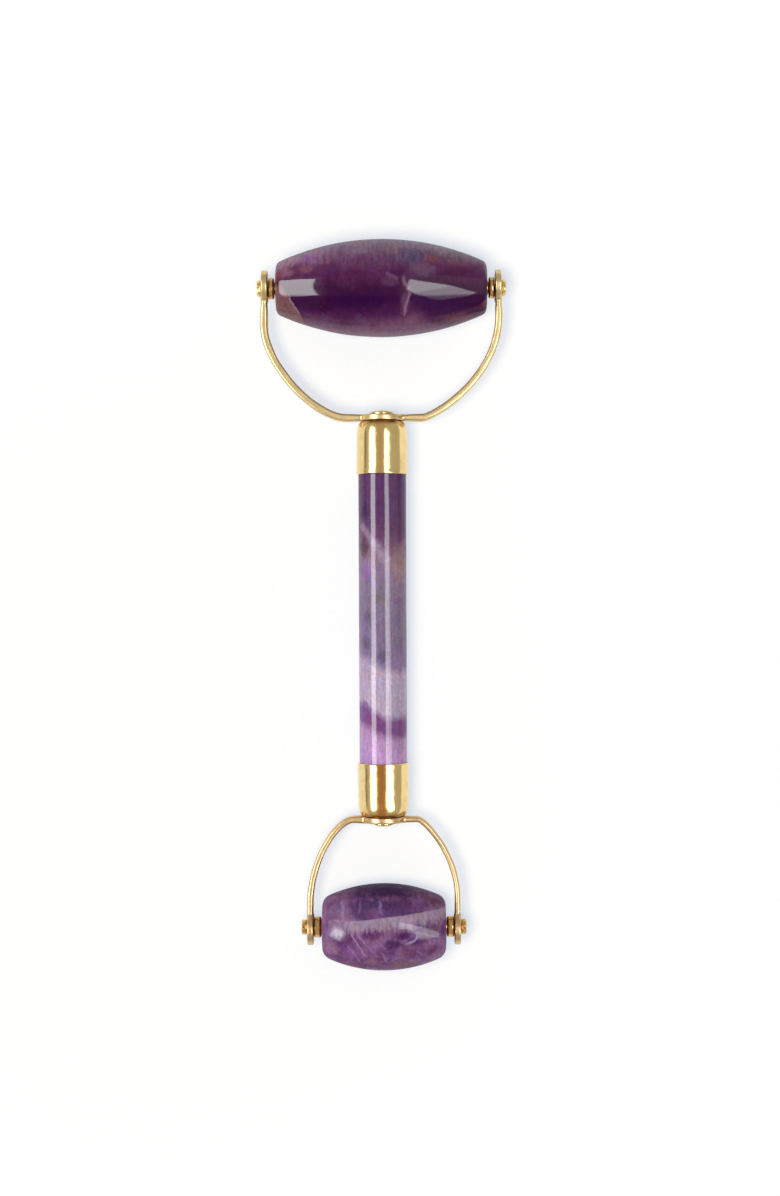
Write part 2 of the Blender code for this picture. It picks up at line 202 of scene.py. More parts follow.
def wobble(points, size, seed):
    """A smooth random value between about -1 and 1 for each point, which varies over size."""
    random = np.random.default_rng(seed)
    waves = 7
    directions = random.normal(size=(waves, 3))
    directions /= np.linalg.norm(directions, axis=1)[:, None]
    phases = random.uniform(0, 2 * np.pi, waves)
    stretch = random.uniform(0.6, 1.5, waves)
    angles = (points @ directions.T) * (2 * np.pi / size * stretch) + phases
    return np.sin(angles).sum(axis=1) / math.sqrt(waves)


def triples(source, key):
    """One vector for each item of a mesh, as rows of numbers."""
    values = np.empty(len(source) * 3, np.float32)
    source.foreach_get(key, values)
    return values.reshape(-1, 3).astype(float)


def coordinates(mesh):
    return triples(mesh.vertices, "co")


def put_points(mesh, points):
    mesh.vertices.foreach_set("co", points.astype(np.float32).ravel())
    mesh.update()


def ripple(mesh, amount, size, seed, where=None):
    """Moves each point along its normal, as hand polishing leaves a surface slightly uneven."""
    points = coordinates(mesh)
    shift = wobble(points, size, seed) * amount
    if where is not None:
        shift *= where(points)
    put_points(mesh, points + triples(mesh.vertex_normals, "vector") * shift[:, None])


def smooth_shaded(mesh):
    mesh.shade_smooth()
    mesh.set_sharp_from_angle(angle=SHARP_ANGLE)
    return mesh


def mesh_from(bm, name):
    mesh = bpy.data.meshes.new(name)
    bm.to_mesh(mesh)
    bm.free()
    return mesh


def added(name, data):
    """A new object, linked to the scene."""
    obj = bpy.data.objects.new(name, data)
    bpy.context.scene.collection.objects.link(obj)
    return obj


def turned(name, outline, axis, steps, longest=1 * MM):
    """Turns (along, out) points round axis. An outline that leaves the axis is a closed ring."""
    ring = outline[0][1] > WELD
    outline = filled(outline, longest, ring)
    bm = bmesh.new()
    points = [bm.verts.new((out, 0, along)) for along, out in outline]
    edges = [bm.edges.new(pair) for pair in zip(points, points[1:])]
    if ring:
        edges.append(bm.edges.new((points[-1], points[0])))
    bmesh.ops.spin(
        bm, geom=points + edges, cent=(0, 0, 0), axis=UP, angle=2 * math.pi, steps=steps, use_merge=True
    )
    bmesh.ops.remove_doubles(bm, verts=bm.verts, dist=WELD)
    bmesh.ops.rotate(bm, verts=bm.verts, matrix=UP.rotation_difference(axis).to_matrix())
    bmesh.ops.recalc_face_normals(bm, faces=bm.faces)
    return smooth_shaded(mesh_from(bm, name))


def ring_outline(low, high, bore, radius, edge, steps=6):
    """A ring between two places along its axis, with all four corners rounded."""
    inner = min(edge, BORE_EDGE_ROUND)
    return (
        arc((low + inner, bore + inner), inner, 1.5 * math.pi, math.pi, 2)
        + arc((low + edge, radius - edge), edge, math.pi, math.pi / 2, steps)
        + arc((high - edge, radius - edge), edge, math.pi / 2, 0, steps)
        + arc((high - inner, bore + inner), inner, 2 * math.pi, 1.5 * math.pi, 2)
    )


def piece(name, mesh, place, node, look):
    """Puts a finer mesh in the place of a CAD node, on the node's body and with its slot."""
    obj = added(name, mesh)
    obj.location = place
    mesh.materials.append(look)
    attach(obj, BODY_OF[node])
    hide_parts(node)


# ---------------------------------------------------------------- shapes given by a field
# A field says how far each point is outside a shape, in metres, and is negative inside.


def slab_field(u, v, half_u, half_v, edge):
    """A rectangle with rounded corners, in two coordinates."""
    over_u = np.abs(u) - (half_u - edge)
    over_v = np.abs(v) - (half_v - edge)
    outside = np.hypot(np.maximum(over_u, 0), np.maximum(over_v, 0))
    return outside + np.minimum(np.maximum(over_u, over_v), 0) - edge


def joined(a, b, fillet):
    """The union of two fields, with a fillet where they meet."""
    near = np.maximum(fillet - np.abs(a - b), 0) / fillet
    return np.minimum(a, b) - near * near * fillet / 4


def cut(a, b, edge):
    """Field a with field b taken away, and the new edge rounded."""
    return -joined(-a, b, edge)


def remeshed(node, origin, voxel):
    """A CAD node's solid as an even net of small quads round origin."""
    bm = bmesh.new()
    bm.from_mesh(frame["nodes"][node].data)
    bmesh.ops.remove_doubles(bm, verts=bm.verts, dist=1e-6)
    bmesh.ops.translate(bm, verts=bm.verts, vec=-origin)
    source = mesh_from(bm, node + "_source")
    helper = added(node + "_source", source)
    remesh = helper.modifiers.new("Remesh", "REMESH")
    remesh.mode = "VOXEL"
    remesh.voxel_size = voxel
    depsgraph = bpy.context.evaluated_depsgraph_get()
    mesh = bpy.data.meshes.new_from_object(helper.evaluated_get(depsgraph))
    bpy.data.objects.remove(helper)
    bpy.data.meshes.remove(source)
    return mesh


def settle(mesh, field, rounds=4, relax=0.45):
    """Evens out the net and moves its points on to the surface where the field is zero."""
    points = coordinates(mesh)
    edges = np.empty(len(mesh.edges) * 2, np.int32)
    mesh.edges.foreach_get("vertices", edges)
    edges = edges.reshape(-1, 2)
    count = np.bincount(edges.ravel(), minlength=len(points))[:, None]
    probe, furthest = 0.004 * MM, 0.15 * MM

    def project(p):
        value = field(p)
        slope = np.stack([(field(p + probe * way) - value) / probe for way in np.eye(3)], axis=1)
        length = np.maximum((slope**2).sum(axis=1), 0.25)
        step = np.clip(value / length, -furthest, furthest)
        return p - slope * step[:, None]

    for _ in range(rounds):
        total = np.zeros_like(points)
        np.add.at(total, edges[:, 0], points[edges[:, 1]])
        np.add.at(total, edges[:, 1], points[edges[:, 0]])
        points += (total / count - points) * relax
        points = project(project(points))
    points = project(points)
    put_points(mesh, points)
    return smooth_shaded(mesh)


def arm_line(end, side, steps=90):
    """Middle line of one arm, from the boss to the eye, as (across, outward) points."""
    arm = end.arms[side]
    bend_top = np.array((end.arm_x + arm.bow, end.reach - arm.straight))
    root = np.array((arm.root_x, 0.0))
    first = root + (arm.crown_pull * (end.arm_x - arm.root_x), 0)
    second = bend_top - (0, arm.rise_pull * bend_top[1])
    t = np.linspace(0, 1, steps)[:, None]
    s = 1 - t
    curve = s**3 * root + 3 * s * s * t * first + 3 * s * t * t * second + t**3 * bend_top
    return np.vstack([(0, 0), curve, (end.arm_x, end.reach)])


def distance_map(line, spacing):
    """A function that gives how far (across, outward) points are from a line, read off a grid."""
    low = line.min(axis=0) - 5 * MM
    counts = np.ceil((line.max(axis=0) + 5 * MM - low) / spacing).astype(int) + 1
    grid = np.stack(np.meshgrid(*(np.arange(n) * spacing for n in counts), indexing="ij"), axis=-1)
    grid = grid.reshape(-1, 2) + low
    best = np.full(len(grid), np.inf)
    for start, stride in zip(line[:-1], np.diff(line, axis=0)):
        off = grid - start
        share = np.clip(off @ stride / (stride @ stride), 0, 1)
        off -= share[:, None] * stride
        best = np.minimum(best, (off**2).sum(axis=1))
    values = np.sqrt(best).reshape(counts)

    def away(points):
        place = np.clip((points - low) / spacing, 0, counts - 1.001)
        i, j = np.floor(place).astype(int).T
        u, v = (place - np.floor(place)).T
        return (values[i, j] * (1 - u) + values[i + 1, j] * u) * (1 - v) + (
            values[i, j + 1] * (1 - u) + values[i + 1, j + 1] * u
        ) * v

    return away


def smooth_step(value, low, high):
    value = np.clip((value - low) / (high - low), 0, 1)
    return value * value * (3 - 2 * value)


def fork_field(end):
    maps = {side: distance_map(arm_line(end, side), 0.1 * MM) for side in end.arms}
    sign = end.outward.y
    eye_edge = end.reach - EYE_RADIUS + EYE_OFFSET

    def arm_field(side, p, outward, height):
        arm = end.arms[side]
        across = p[:, 0] * side
        away = maps[side](np.stack([across, outward], axis=1))
        off_boss = smooth_step(across, BOSS_RADIUS - 0.5 * MM, BOSS_RADIUS + 3 * MM)
        off_eye = smooth_step(eye_edge - outward, -0.5 * MM, arm.straight / 2)
        mid, boss_end, eye_end = arm.thickness, arm.root_thickness, ARM_ROOT_THICKNESS
        thickness = mid + (1 - off_boss) * (boss_end - mid) + (1 - off_eye) * (eye_end - mid)
        return slab_field(away, height, thickness / 2, ARM_DEPTH / 2, ARM_EDGE_ROUND)

    def field(p):
        across, outward, height = np.abs(p[:, 0]), p[:, 1] * sign, p[:, 2]
        arms = np.minimum(arm_field(-1, p, outward, height), arm_field(1, p, outward, height))
        arms += ARM_UNEVENNESS * wobble(p, 4 * MM, 11)
        from_swivel = np.hypot(p[:, 0], height)
        boss = slab_field(from_swivel, outward, BOSS_RADIUS, BOSS_THICKNESS / 2, BOSS_EDGE_ROUND)
        from_eye = np.hypot(outward - end.reach - EYE_OFFSET, height)
        off_eye = across - end.arm_x
        eye = slab_field(from_eye, off_eye, EYE_RADIUS, EYE_THICKNESS / 2, EYE_EDGE_ROUND)
        whole = joined(joined(arms, boss, BRAZE_FILLET), eye, BRAZE_FILLET)
        whole = cut(whole, from_swivel - RIVET_BORE, BORE_EDGE_ROUND)
        from_axle = np.hypot(outward - end.reach, height)
        return cut(whole, from_axle - SCREW_BORE, BORE_EDGE_ROUND)

    return field


def screw_field(end, side):
    node = f"{end.name}_{side}_screw"
    head = half_size(node).y
    low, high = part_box(node)
    under_head = end.arm_x + EYE_THICKNESS / 2 + SLIDE_GAP
    outward = 1 if side == "right" else -1
    height = max(abs(low.x), abs(high.x)) - under_head
    length = (high - low).x - height
    turned_by = math.radians(end.slot_turns[side])

    def field(p):
        along = p[:, 0] * outward
        radial = np.hypot(p[:, 1], p[:, 2])
        round_head = slab_field(radial, along - height / 2, head, height / 2, SCREW_EDGE_ROUND)
        from_slot = p[:, 1] * math.cos(turned_by) + p[:, 2] * math.sin(turned_by)
        slot = np.maximum(np.abs(from_slot) - SLOT_WIDTH / 2, height - SLOT_DEPTH - along)
        round_head = cut(round_head, slot, SLOT_EDGE_ROUND)
        turn = along / SCREW_PITCH - np.arctan2(p[:, 2], p[:, 1]) / (2 * np.pi)
        groove = np.abs(turn - np.floor(turn) - 0.5) * 2
        threaded = smooth_step(-along, SCREW_PLAIN, SCREW_PLAIN + 0.2 * MM)
        radius = SCREW_SHANK - SCREW_THREAD_DEPTH * threaded * smooth_step(groove, 0.2, 0.9)
        middle_along = (0.2 * MM - length) / 2
        half = (length + 0.2 * MM) / 2
        shank = np.maximum(radial - radius, np.abs(along - middle_along) - half)
        tip = radial - SCREW_SHANK - along - length + 0.3 * MM
        return joined(round_head, np.maximum(shank, tip), 0.1 * MM)

    return field, Vector((outward * under_head, end.axle.y, 0))


# ---------------------------------------------------------------- materials


def rgb(red, green, blue):
    """A colour as seen, 0 to 255, in the linear values that shaders take."""

    def linear(value):
        share = value / 255
        return share / 12.92 if share <= 0.04045 else ((share + 0.055) / 1.055) ** 2.4

    return linear(red), linear(green), linear(blue), 1.0


class Look:
    """A material under construction. Each method adds nodes and returns the output to use."""

    def __init__(self, name):
        self.material = bpy.data.materials.new(name)
        self.material.use_nodes = True
        self.tree = self.material.node_tree
        self.shader = self.tree.nodes["Principled BSDF"]
        metres = self.node("ShaderNodeTexCoord").outputs["Object"]
        self.place = self.vector("SCALE", metres, scale=1 / MM)

    def feed(self, socket, value):
        if isinstance(value, bpy.types.NodeSocket):
            self.tree.links.new(value, socket)
        elif value is not None:
            socket.default_value = value

    def node(self, kind, *inputs, **settings):
        node = self.tree.nodes.new(kind)
        for key, value in settings.items():
            setattr(node, key, value)
        for socket, value in zip(node.inputs, inputs):
            self.feed(socket, value)
        return node

    def set(self, **inputs):
        for key, value in inputs.items():
            self.feed(self.shader.inputs[key.replace("_", " ")], value)

    def math(self, operation, a, b=0.0, clamp=False):
        node = self.node("ShaderNodeMath", a, b, operation=operation, use_clamp=clamp)
        return node.outputs[0]

    def times(self, value, *factors):
        for factor in factors:
            value = self.math("MULTIPLY", value, factor)
        return value

    def plus(self, a, b):
        return self.math("ADD", a, b)

    def minus(self, a, b):
        return self.math("SUBTRACT", a, b)

    def swing(self, noise, amount):
        """Noise lies around a half: this lies around 0, and amount times as far from it."""
        return self.times(self.minus(noise, 0.5), amount)

    def vector(self, operation, a, b=None, scale=None):
        node = self.node("ShaderNodeVectorMath", a, b, operation=operation)
        if scale is not None:
            self.feed(node.inputs["Scale"], scale)
        return node.outputs["Value" if operation in ("LENGTH", "DOT_PRODUCT") else "Vector"]

    def axis(self, index, place=None):
        node = self.node("ShaderNodeSeparateXYZ", place or self.place)
        return node.outputs[index]

    def noise(self, size, detail=3, rough=0.5, place=None, shift=0.0, colour=False):
        place = self.vector("ADD", place or self.place, (shift, shift * 0.7, -shift))
        node = self.node("ShaderNodeTexNoise", place, None, 1 / size, detail, rough)
        return node.outputs[1 if colour else 0]

    def warped(self, amount, size, place=None, shift=0.0, detail=2):
        """The place, pushed about by noise."""
        push = self.noise(size, detail, 0.5, place, shift, colour=True)
        push = self.vector("SUBTRACT", push, (0.5, 0.5, 0.5))
        push = self.vector("SCALE", push, scale=2 * amount)
        return self.vector("ADD", place or self.place, push)

    def stretched(self, factors, place=None):
        return self.vector("MULTIPLY", place or self.place, factors)

    def ramp(self, value, *ends):
        """Takes value smoothly from the first two ends to the last two, which are 0 and 1 if left out."""
        ends = ends if len(ends) == 4 else (*ends, 0.0, 1.0)
        node = self.node("ShaderNodeMapRange", value, *ends, interpolation_type="SMOOTHSTEP")
        return node.outputs[0]

    def bands(self, value, stops):
        """A colour for each stretch of value, which runs from 0 to 1."""
        node = self.node("ShaderNodeValToRGB", value)
        elements = node.color_ramp.elements
        while len(elements) < len(stops):
            elements.new(0.5)
        for element, (position, colour) in zip(elements, stops):
            element.position = position
            element.color = rgb(*colour)
        return node.outputs[0]

    def mix(self, share, a, b, blend="MIX"):
        node = self.node("ShaderNodeMix", data_type="RGBA", blend_type=blend)
        self.feed(node.inputs[0], share)
        self.feed(node.inputs[6], a)
        self.feed(node.inputs[7], b)
        return node.outputs[2]

    def grey(self, value):
        return self.node("ShaderNodeCombineColor", value, value, value).outputs[0]

    def shaded(self, colour, shade):
        """The colour multiplied by a grey or a tint."""
        return self.mix(1.0, colour, shade, "MULTIPLY")

    def patch(self, centre, size, place, soft=0.25):
        """1 inside an ellipsoid, fading to 0 at its edge."""
        off = self.vector("SUBTRACT", place, centre)
        off = self.vector("DIVIDE", off, size)
        return self.ramp(self.vector("LENGTH", off), soft, 1.0, 1.0, 0.0)

    def sheet(self, direction, offset, thickness, place):
        """1 on a plane, fading to 0 at thickness on each side."""
        along = self.vector("DOT_PRODUCT", place, tuple(Vector(direction).normalized()))
        away = self.math("ABSOLUTE", self.minus(along, offset))
        return self.ramp(away, 0.0, thickness, 1.0, 0.0)

    def bump(self, height, distance):
        """Distance is in millimetres of height for a value of 1."""
        node = self.node("ShaderNodeBump", 1.0, distance * MM)
        self.feed(node.inputs["Height"], height)
        previous = self.shader.inputs["Normal"]
        if previous.is_linked:
            self.feed(node.inputs["Normal"], previous.links[0].from_socket)
        self.feed(previous, node.outputs[0])


def brass_look(name, tone=(0.87, 0.68, 0.31), deep=(0.62, 0.34, 0.09), rough=0.12, satin=0.3,
               worn_share=0.3, grain=0.004, shade=0.3, painted_light=None):
    """Plated brass with an uneven polish: bright skin with fine satin spots, warmer and duller in
    hollows. Worn_share is how much of the skin is satin."""
    look = Look(name)
    cloudy = look.noise(2.4, 4, 0.6)
    tint = look.ramp(cloudy, 0.42, 0.74)
    fine = look.noise(0.16, 3, 0.6, look.warped(0.06, 0.3), 3.0)
    edge = 0.56 - 0.3 * worn_share
    uneven = look.plus(fine, look.swing(cloudy, 0.5))
    spots = look.ramp(uneven, edge, edge + 0.3)
    hollow = look.node("ShaderNodeNewGeometry").outputs["Pointiness"]
    sunk = look.ramp(hollow, 0.42, 0.495, 1.0, 0.0)
    colour = look.mix(look.times(tint, shade), (*tone, 1), (*deep, 1))
    colour = look.mix(look.times(sunk, 0.6), colour, (*deep, 1))
    colour = look.mix(look.times(spots, 0.2), colour, (*deep, 1))
    dull = look.plus(look.times(spots, satin - rough), rough)
    dull = look.plus(dull, look.times(tint, 0.06))
    # painted shade and painted reflection, given for the cups only
    if painted_light:
        colour = painted_light(look, colour)
    look.set(Base_Color=colour, Metallic=1.0, Roughness=dull)
    look.bump(look.noise(0.5, 4, 0.6, shift=9.0), grain)
    look.bump(fine, grain * 0.6)
    return look.material


def cup_painted_light(end, centre_share):
    """Painted shade in the joint under the fork's disc and, by centre_share, a painted warm reflection in a band
    along the top.
    """
    node = end.name + "_ferrule"
    half = half_size(node) / MM
    sign = end.outward.y

    def painted_light(look, colour):
        along = look.times(look.axis(1), sign)
        uneven = look.swing(look.noise(1.2, 3), 0.5)
        # painted shade: the joint under the fork's disc darkened to orange-brown
        joint = look.ramp(look.plus(along, uneven), half.y - 1.1, half.y - 0.25)
        colour = look.mix(look.times(joint, 0.85), colour, (0.4, 0.15, 0.015, 1))
        # painted reflection: a warm orange band along the top of the cup, as strong as centre_share
        across = look.math("ABSOLUTE", look.plus(look.axis(0, look.warped(0.3, 2.5)), 0.35))
        band = look.ramp(across, 0.5, 1.3, 1.0, 0.0)
        on_top = look.ramp(look.axis(2), half.z - 1.2, half.z - 0.5)
        band = look.times(band, on_top, centre_share)
        colour = look.mix(band, colour, (0.62, 0.25, 0.06, 1))
        # fine drawing lines along the cup
        lines = look.noise(0.3, 4, 0.65, look.stretched((1.0, 0.08, 1.0)), 33.0)
        look.bump(lines, 0.004)
        return colour

    return painted_light


def turned_metal_look(name, dark, light, smooth, dull, blotch=None):
    """Metal with fine turning rings, and with blotches where a colour for them is given."""
    look = Look(name)
    rings = look.noise(0.25, 4, 0.6, look.stretched((3, 1, 1)))
    colour = look.mix(rings, (*dark, 1), (*light, 1))
    if blotch:
        blotches = look.noise(0.9, 4, 0.6, shift=5.0)
        colour = look.mix(look.ramp(blotches, 0.5, 0.7), colour, (*blotch, 1))
    look.set(Base_Color=colour, Metallic=1.0, Roughness=look.ramp(rings, 0.2, 0.8, smooth, dull))
    look.bump(rings, 0.006)
    return look.material


def resin_look():
    look = Look("cured_adhesive")
    cloudy = look.noise(1.2, 4, 0.6)
    colour = look.mix(cloudy, rgb(196, 182, 140), rgb(226, 218, 192))
    look.set(Base_Color=colour, Roughness=0.35, Subsurface_Weight=0.2, Subsurface_Scale=1 * MM)
    bubbles = look.node("ShaderNodeTexVoronoi", look.place, None, 1.6)
    look.bump(look.ramp(bubbles.outputs["Distance"], 0.1, 0.3), 0.03)
    return look.material


WARM_TINT = (1.06, 0.97, 1.02, 1)
COOL_TINT = (0.96, 0.98, 1.18, 1)
# pale colour of the specks in small dents: painted glints
SPECK_GLINT_COLOUR = (200, 180, 190)
LAMPS_IN_POLISH = 0.04  # the share of the lamps' light that a full polish gives back


def mottled(look, colour, gain):
    """The colour made gain times as light, with fine mottling in its lightness and hue."""
    mottle = look.noise(0.7, 5, 0.65, look.warped(0.4, 1.2), 5.0)
    shade = look.ramp(mottle, 0.25, 0.75, 0.84 * gain, 1.16 * gain)
    grains = look.swing(look.noise(0.2, 3, 0.6, shift=44.0), 0.3)
    shade = look.times(shade, look.plus(grains, 1.0))
    hue = look.ramp(look.noise(2.2, 4, 0.6, look.warped(0.8, 2.6), 65.0), 0.35, 0.65)
    colour = look.mix(hue, look.shaded(colour, WARM_TINT), look.shaded(colour, COOL_TINT))
    return look.shaded(colour, look.grey(shade))


def mirrored_share(look, polish, rim):
    """How much of its surroundings the polish shows: the lamps and, towards the rim, the floor, but
    hardly the ceiling."""
    seen = look.node("ShaderNodeTexCoord").outputs["Reflection"]
    across, along, up = (look.axis(i, seen) for i in range(3))
    to_left = look.ramp(across, -0.5, -0.42, 1.0, 0.2)
    to_right = look.ramp(across, 0.1, 0.18, 0.2, 1.0)
    beside = look.ramp(look.math("ABSOLUTE", along), 0.36, 0.5, 1.0, 0.2)
    lamps = look.times(look.math("MAXIMUM", to_left, to_right), beside, look.ramp(up, 0.0, 0.25))
    facing = look.node("ShaderNodeLayerWeight", 0.5).outputs["Facing"]
    below = look.ramp(up, -0.5, 0.15, 1.0, 0.12)
    floor = look.times(below, look.ramp(facing, 0.35, 0.95, 0.03, 0.15), rim)
    return look.plus(look.times(lamps, LAMPS_IN_POLISH, polish), floor)


def stone_finish(look, colour, gain, polish, rim=1.0):
    """What all three stones share: fine mottling, pale specks in small dents that are painted glints, and a thin
    polished skin over them.
    """
    # small dents with pale specks in them: painted glints
    specks = look.node("ShaderNodeTexVoronoi", look.place, None, 0.55)
    dots = look.ramp(specks.outputs["Distance"], 0.02, 0.05, 0.25, 0.0)
    look.set(
        Base_Color=look.mix(dots, mottled(look, colour, gain), rgb(*SPECK_GLINT_COLOUR)),
        Roughness=0.5,
        Specular_IOR_Level=0.0,
        Subsurface_Weight=0.12,
        Subsurface_Scale=0.8 * MM,
    )
    look.bump(look.noise(1.6, 3, 0.5, shift=50.0), 0.006)
    look.bump(dots, -0.01)
    haze = look.noise(2.4, 4, 0.6, shift=40.0)
    skin = look.node("ShaderNodeBsdfGlossy", (1, 1, 1, 1), look.ramp(haze, 0.3, 0.7, 0.03, 0.09))
    look.feed(skin.inputs["Normal"], look.shader.inputs["Normal"].links[0].from_socket)
    share = mirrored_share(look, polish, rim)
    both = look.node("ShaderNodeMixShader", share, look.shader.outputs[0], skin.outputs[0])
    look.feed(look.tree.nodes["Material Output"].inputs["Surface"], both.outputs[0])
    return look.material


def apply_clouds(look, colour, clouds, place, height):
    """Ragged patches of colour. Each is (x, y, size x, size y, colour, share), seen from above,
    where height(x, y) gives how high the stone's top surface is there."""
    ragged = look.swing(look.noise(1.3, 5, 0.65, look.place, 90.0), 1.1)
    for x, y, size_x, size_y, tint, share in clouds:
        size = (size_x * 1.15, size_y * 1.15, max(size_x, size_y))
        mask = look.patch((x, y, height(x, y)), size, place, 0.0)
        edge = look.times(look.ramp(mask, 0.0, 0.3), ragged)
        mask = look.ramp(look.plus(mask, edge), 0.05, 0.95)
        colour = look.mix(look.times(mask, share), colour, rgb(*tint))
    return colour


def apply_veins(look, colour, veins, place, height):
    """Healed cracks. Each is (x, y, x, y, width, colour, share): its two ends seen from above."""
    for x0, y0, x1, y1, width, tint, share in veins:
        length = math.hypot(x1 - x0, y1 - y0)
        mid_x, mid_y = (x0 + x1) / 2, (y0 + y1) / 2
        across = ((y1 - y0) / length, (x0 - x1) / length, 0)
        line = look.sheet(across, across[0] * x0 + across[1] * y0, width, place)
        reach = look.patch((mid_x, mid_y, height(mid_x, mid_y)), (length / 2,) * 3, place, 0.6)
        line = look.times(line, reach, share)
        colour = look.mix(line, colour, rgb(*tint))
    return colour


def strands(look, colour, size, stretch, amount, shift):
    """Fine parallel fibres of lighter and darker crystal."""
    fibres = look.noise(size, 4, 0.6, look.stretched(stretch, look.warped(0.3, 2.0)), shift)
    shade = look.ramp(fibres, 0.3, 0.7, 1 - amount, 1 + amount)
    return look.shaded(colour, look.grey(shade))


def barrel_height(end):
    """Height of the barrel's top surface in millimetres over a point, from its crown and radius."""
    radius = half_size(end.name + "_stone").z / MM
    crown = end.crown_radius / MM

    def height(x, y):
        here = radius - crown + math.sqrt(crown * crown - x * x)
        return math.sqrt(max(here * here - y * y, 0))

    return height


LARGE_CLOUDS = (
    # grey and mauve along the top
    (-3, 7.9, 15, 3.4, (112, 84, 106), 0.6),
    (12, 7.4, 9, 3.0, (112, 94, 110), 0.7),
    (-14, 6.2, 8, 3.0, (136, 98, 122), 0.8),
    (-4, 7.3, 4.2, 1.6, (126, 106, 118), 0.8),
    (-7.2, 7.8, 2.2, 1.4, (84, 66, 116), 0.8),
    (-14, 6.0, 2.4, 1.8, (126, 78, 140), 0.8),
    (-2, 5.0, 9, 2.2, (98, 60, 90), 0.5),
    (5.5, 6.0, 4.4, 3.4, (84, 72, 98), 0.85),
    (8.0, 3.4, 4.4, 2.0, (112, 88, 104), 0.5),
    (9.6, 5.5, 2.6, 1.4, (138, 80, 72), 0.55),
    (15, 5.6, 6, 1.8, (112, 80, 96), 0.7),
    # the left end
    (-18.5, 5.2, 4.2, 3.0, (142, 106, 122), 0.85),
    (-18.8, 3.0, 3.2, 1.8, (136, 92, 106), 0.75),
    (-14.6, 3.8, 2.8, 1.1, (136, 84, 86), 0.5),
    (-20.4, 2.4, 2.2, 2.0, (116, 44, 54), 0.85),
    # the deep middle, and the right
    (-5.5, -2.6, 10, 3.2, (44, 4, 52), 0.8),
    (-12.5, -3.4, 4.4, 2.6, (48, 6, 42), 0.85),
    (1.5, 0.8, 2.8, 1.9, (104, 72, 100), 0.35),
    (15, 2.6, 6.0, 2.2, (76, 28, 62), 0.8),
    (10.5, -3.2, 7.5, 2.6, (50, 8, 60), 0.85),
    (4.8, -3.6, 1.7, 3.6, (104, 66, 94), 0.75),
    (20.6, 3.4, 2.2, 3.0, (96, 70, 86), 0.7),
    # the lower edge, where the paler mauve is partly a painted reflection of the floor
    (-4.2, -6.0, 2.4, 1.4, (96, 62, 92), 0.6),
    (-6, -8.4, 13, 1.4, (112, 74, 100), 0.6),
    (16.0, -5.8, 6.0, 1.3, (112, 56, 70), 0.7),
    (9, -7.8, 6.5, 1.5, (110, 68, 98), 0.7),
    (20.6, -3.2, 1.6, 1.8, (124, 56, 64), 0.8),
)

LARGE_VEINS = (
    (4.0, 1.4, 5.8, -2.4, 0.6, (150, 112, 136), 0.45),
    (5.8, -1.4, 4.2, -7.4, 0.45, (158, 120, 142), 0.6),
    (0.8, 2.0, 3.2, 0.2, 0.7, (132, 100, 124), 0.35),
    (-18.9, -1.2, -15.4, -7.0, 0.2, (170, 136, 140), 0.5),
    (-2.0, 7.5, -0.8, 3.5, 0.8, (128, 98, 120), 0.35),
    (2.8, 8.4, 3.4, 3.6, 0.8, (130, 108, 122), 0.35),
)


def large_stone_look():
    look = Look("dark_amethyst")
    height = barrel_height(LARGE)
    # the warp carries the pattern 1 mm off its place, so it is moved back
    place = look.vector("ADD", look.warped(1.3, 4.0, shift=2.0, detail=5), (0, 1.0, 0))
    broad = look.warped(2.6, 7.0, shift=27.0, detail=4)
    share = look.plus(look.math("DIVIDE", look.axis(1, broad), 20.0), 0.5)
    # bands across the stone; the paler lowest band is partly a painted reflection of the floor
    colour = look.bands(
        share,
        (
            (0.06, (112, 74, 98)),
            (0.18, (74, 30, 70)),
            (0.32, (52, 8, 56)),
            (0.46, (56, 10, 52)),
            (0.58, (78, 32, 72)),
            (0.68, (92, 50, 82)),
            (0.78, (104, 70, 96)),
            (0.88, (118, 94, 112)),
            (0.96, (108, 88, 110)),
        ),
    )
    under = look.ramp(look.axis(2), -7.5, -1.0, 1.0, 0.0)
    veiled = look.ramp(look.noise(7.0, 4, 0.6, place, 60.0), 0.42, 0.62)
    colour = look.mix(look.times(under, veiled), colour, rgb(122, 92, 116))
    colour = apply_clouds(look, colour, LARGE_CLOUDS, place, height)
    # a paler wedge at the left end, ended by a healed fracture
    fracture = look.vector("DOT_PRODUCT", look.warped(0.2, 2.0), (-0.84, -0.537, 0))
    wedge = look.ramp(fracture, 16.5, 16.75)
    low_side = look.ramp(look.axis(1), -0.8, 0.4, 1.0, 0.0)
    wedge = look.times(wedge, low_side, 0.75)
    colour = look.mix(wedge, colour, rgb(126, 88, 84))
    crooked = look.warped(0.7, 2.2, shift=77.0, detail=4)
    colour = apply_veins(look, colour, LARGE_VEINS, crooked, height)
    colour = strands(look, colour, 0.7, (1.0, 0.3, 0.3), 0.12, 12.0)
    threads = strands(look, colour, 0.7, (1.0, 0.16, 0.3), 0.22, 31.0)
    colour = look.mix(look.ramp(look.axis(1), 1.0, 5.0), colour, threads)
    return stone_finish(look, colour, 0.8, 0.95)


